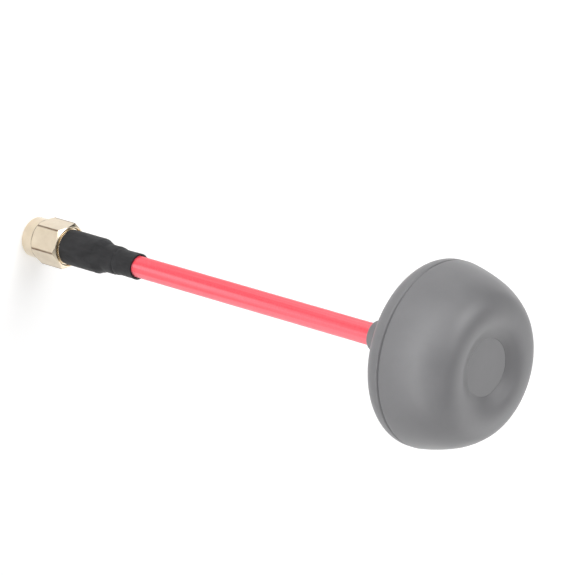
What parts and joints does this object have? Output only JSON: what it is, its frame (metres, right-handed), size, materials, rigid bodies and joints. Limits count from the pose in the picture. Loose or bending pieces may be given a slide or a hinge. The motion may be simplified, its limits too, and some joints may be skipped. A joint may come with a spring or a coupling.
{
  "type": "mushroom antenna",
  "caption": "Mushroom antenna: domed plastic radome on a short rigid coaxial stem that ends in a threaded plug with a free-turning hexagon coupling nut.",
  "frame": {"origin": "centre of the coupling nut's front face, where the plug meets its socket", "axes": "+Z along the antenna's axis from the plug to the crown of the dome; +X through a corner of the nut's hexagon; +Y through a flat of it"},
  "size_m": [0.034, 0.034, 0.1138],
  "materials": {
    "gold_plate": "polished gold plating on brass",
    "spring_bronze": "plain spring bronze",
    "gasket_rubber": "matt silicone rubber",
    "ptfe": "waxy white PTFE",
    "solder": "bright solder",
    "silvered_wire": "silver-plated wire",
    "tinned_copper": "tinned copper tube",
    "red_sheath": "satin red sheath",
    "black_shrink": "satin black shrink tube",
    "grey_plastic": "semi-gloss moulded plastic",
    "adhesive": "clear set adhesive",
    "copper_wire": "enamelled copper wire"
  },
  "bodies": {
    "antenna": {"connector_body": "gold_plate", "nut_retaining_ring": "spring_bronze", "nut_gasket": "gasket_rubber", "connector_insulator": "ptfe", "centre_pin": "gold_plate", "cable_ferrule": "gold_plate", "ferrule_solder": "solder", "coax_inner": "silvered_wire", "coax_dielectric": "ptfe", "coax_shield": "tinned_copper", "stem_sheath": "red_sheath", "heat_shrink_sleeve": "black_shrink", "radome_base": "grey_plastic", "radome_cap": "grey_plastic", "boss_adhesive": "adhesive", "radiator_lobe_1": "copper_wire", "radiator_lobe_2": "copper_wire", "radiator_lobe_3": "copper_wire", "feed_solder": "solder", "shield_solder": "solder"},
    "nut": {"coupling_nut": "gold_plate"}
  },
  "joints": [
    {"name": "nut_spin", "type": "hinge", "parent": "antenna", "child": "nut", "pos_m": [0, 0, 0.0045], "axis": [0, 0, 1], "continuous": true}
  ]
}
